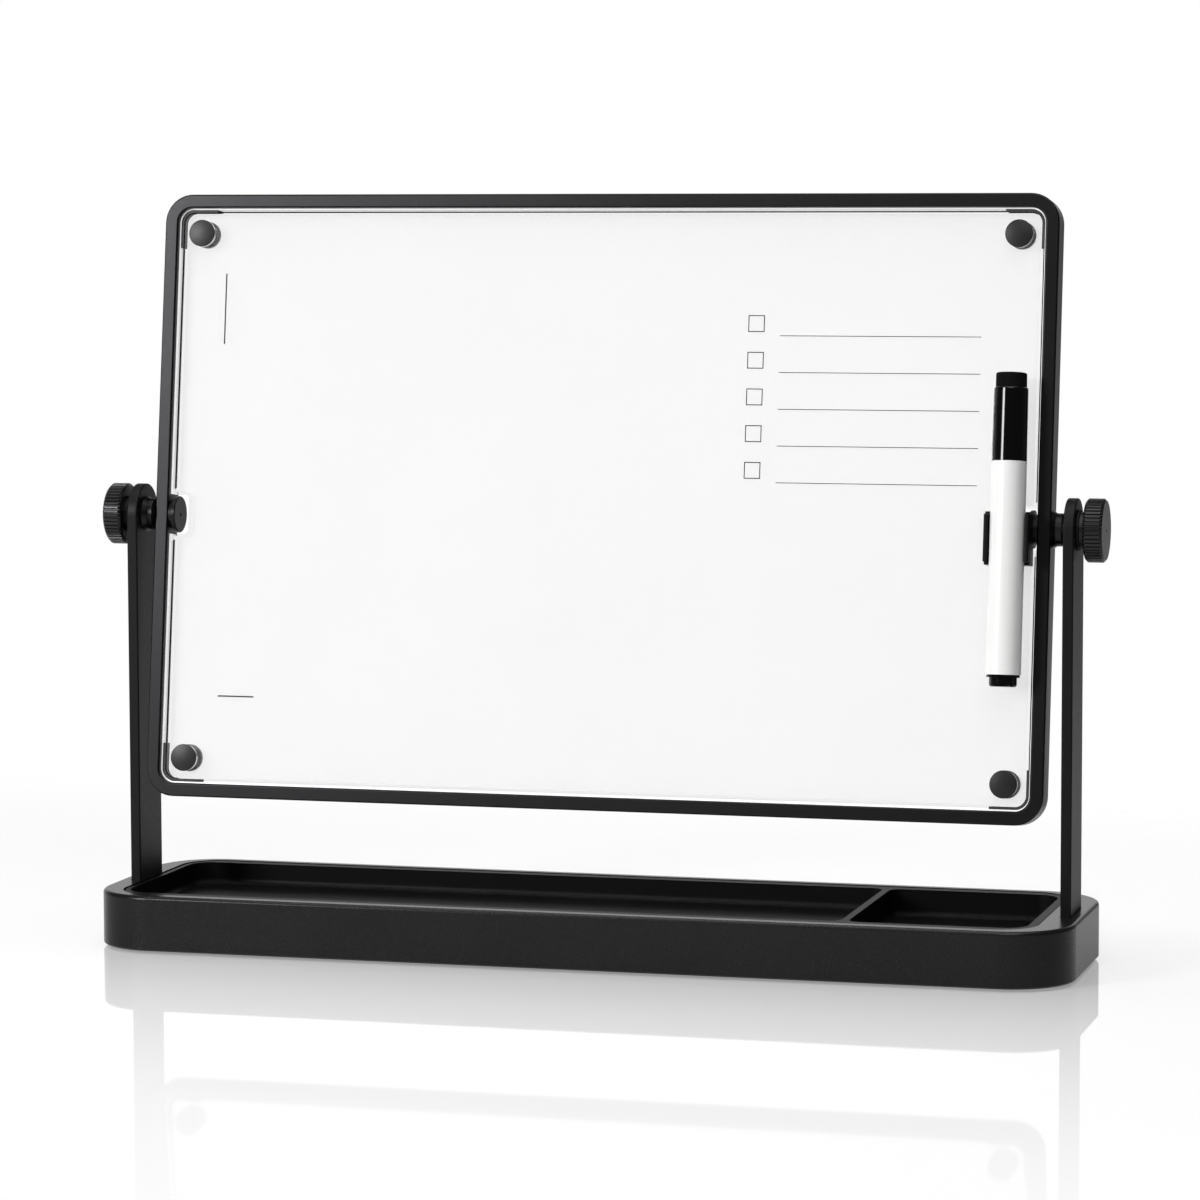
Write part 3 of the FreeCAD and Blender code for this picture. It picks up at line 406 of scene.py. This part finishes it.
wall_back, wall_end, wall_foot, wall_top = 5, 12, -0.5, 4
wall_white, tree = empty_material("white_backdrop")
dull = add(tree, "ShaderNodeBsdfDiffuse", {"Color": linear("#f0f0f0")})
right_fade = fade(tree, "X", full_m=0.0, gone_m=1.4)
left_fade = fade(tree, "X", full_m=-3.0, gone_m=-11.5)
high_fade = fade(tree, "Z", full_m=2.0, gone_m=3.9)
between_ends = add(tree, "ShaderNodeMath", {0: right_fade, 1: left_fade}, operation="MULTIPLY")
lit_share = add(tree, "ShaderNodeMath", {0: between_ends.outputs[0], 1: high_fade}, operation="MULTIPLY")
wall_level = dimmed(tree, lit_share.outputs[0], least=world_level)
bright = add(tree, "ShaderNodeEmission", {"Color": white, "Strength": wall_level})
lit = add(tree, "ShaderNodeMixShader", {0: seen_ray(tree), 1: dull.outputs[0], 2: bright.outputs[0]})
add(tree, "ShaderNodeOutputMaterial", {"Surface": lit.outputs[0]})
stage_plane("backdrop", [(-wall_end, wall_back, wall_foot), (wall_end, wall_back, wall_foot),
                         (wall_end, wall_back, wall_top), (-wall_end, wall_back, wall_top)], wall_white)

table_end, table_front = 8, -6
along_base = 0.25
polish_power, polish_gain = 2.8, 1.25
table_glow = 0.5
table_white, tree = empty_material("white_table_top")
place = add(tree, "ShaderNodeTexCoord").outputs["Object"]
spread = add(tree, "ShaderNodeMapping", {"Vector": place, "Scale": (along_base, 1, 0)})
reach = add(tree, "ShaderNodeVectorMath", {0: spread.outputs[0]}, operation="LENGTH").outputs["Value"]
near = add(tree, "ShaderNodeMapRange", {"Value": reach, "From Min": 0.05, "From Max": 0.75,
                                        "To Min": 1.0, "To Max": 0.0})
steep = add(tree, "ShaderNodeMath", {0: near.outputs[0], 1: polish_power}, operation="POWER")
glance = add(tree, "ShaderNodeFresnel", {"IOR": 1.5})
polish = add(tree, "ShaderNodeMath", {0: steep.outputs[0], 1: polish_gain}, operation="MULTIPLY")
mirror = add(tree, "ShaderNodeMath", {0: polish.outputs[0], 1: glance.outputs[0]}, operation="MULTIPLY")
far = add(tree, "ShaderNodeMapRange", {"Value": reach, "From Min": 0.12, "From Max": 0.5},
          interpolation_type="SMOOTHSTEP")
table_level = dimmed(tree, fade(tree, "X", full_m=0.1, gone_m=0.7), least=0.38)
seen = add(tree, "ShaderNodeMath", {0: seen_ray(tree), 1: table_level}, operation="MULTIPLY").outputs[0]
glow = add(tree, "ShaderNodeMath", {0: seen, 1: table_glow}, operation="MULTIPLY")
plain = add(tree, "ShaderNodeBsdfPrincipled",
            {"Base Color": linear("#b4b4b4"), "Roughness": 1.0, "Specular IOR Level": 0.0,
             "Emission Color": white, "Emission Strength": glow.outputs[0]})
distant = add(tree, "ShaderNodeEmission", {"Color": white, "Strength": seen})
polished = add(tree, "ShaderNodeBsdfPrincipled",
               {"Base Color": white, "Metallic": 1.0, "Roughness": 0.03})
shaded = add(tree, "ShaderNodeMixShader",
             {0: far.outputs[0], 1: plain.outputs[0], 2: distant.outputs[0]})
table_skin = add(tree, "ShaderNodeMixShader",
                 {0: mirror.outputs[0], 1: shaded.outputs[0], 2: polished.outputs[0]})
add(tree, "ShaderNodeOutputMaterial", {"Surface": table_skin.outputs[0]})
stage_plane("table_top", [(-table_end, table_front, 0), (table_end, table_front, 0),
                          (table_end, wall_back, 0), (-table_end, wall_back, 0)], table_white)

world = bpy.data.worlds.new("studio")
bpy.context.scene.world = world
world.use_nodes = True
tree = world.node_tree
tree.nodes.clear()
path = add(tree, "ShaderNodeLightPath")
open_view = add(tree, "ShaderNodeMath",
                {0: path.outputs["Is Camera Ray"], 1: path.outputs["Is Transmission Ray"]},
                operation="MAXIMUM")
sky_level = add(tree, "ShaderNodeMapRange",
                {"Value": open_view.outputs[0], "To Min": world_level, "To Max": 1.0})
sky = add(tree, "ShaderNodeBackground", {"Color": white, "Strength": sky_level.outputs[0]})
add(tree, "ShaderNodeOutputWorld", {"Surface": sky.outputs[0]})


def soft_lamp(name, place_m, aim_m, size_m, watts):
    """A square area lamp at place_m, facing aim_m."""
    lamp = bpy.data.lights.new(name, "AREA")
    lamp.shape = "SQUARE"
    lamp.size = size_m
    lamp.energy = watts
    holder = bpy.data.objects.new(name, lamp)
    holder.location = place_m
    holder.rotation_euler = (Vector(aim_m) - Vector(place_m)).to_track_quat("-Z", "Y").to_euler()
    bpy.context.scene.collection.objects.link(holder)


soft_lamp("left_softbox", (-1.02, -1.4, 0.72), aim_m=(-0.1, 0.0, 0.15), size_m=0.45, watts=22)
soft_lamp("front_softbox", (0.5, -2.0, 1.9), aim_m=(0.1, 0.0, 0.15), size_m=1.2, watts=18)
soft_lamp("top_softbox", (0.0, -0.2, 2.2), aim_m=(0.0, 0.0, 0.1), size_m=2.0, watts=32)

# Camera: the photograph's place and angle, found by fitting the board's and the base's edges in it.
# It turns by yaw, then pitch, then a slight roll about the line of sight.
camera_mm = np.array([479.646, -1736.002, 307.597])
yaw, pitch, roll = np.radians([15.3817, -5.2388, -0.1506])
focal_px, image_px = 4505.172, 1200
ahead = np.array([-math.sin(yaw) * math.cos(pitch), math.cos(yaw) * math.cos(pitch), math.sin(pitch)])
across = np.array([math.cos(yaw), math.sin(yaw), 0.0])
upward = np.cross(across, ahead)
right_axis = across * math.cos(roll) + upward * math.sin(roll)
up_axis = -across * math.sin(roll) + upward * math.cos(roll)
lens = bpy.data.cameras.new("photo_camera")
lens.sensor_width = 36.0
lens.lens = focal_px / image_px * lens.sensor_width
lens.clip_end = 50
viewer = bpy.data.objects.new("photo_camera", lens)
turn = Matrix(np.stack([right_axis, up_axis, -ahead], 1).tolist()).to_4x4()
viewer.matrix_world = Matrix.Translation(camera_mm / 1000) @ turn
bpy.context.scene.collection.objects.link(viewer)
bpy.context.scene.camera = viewer
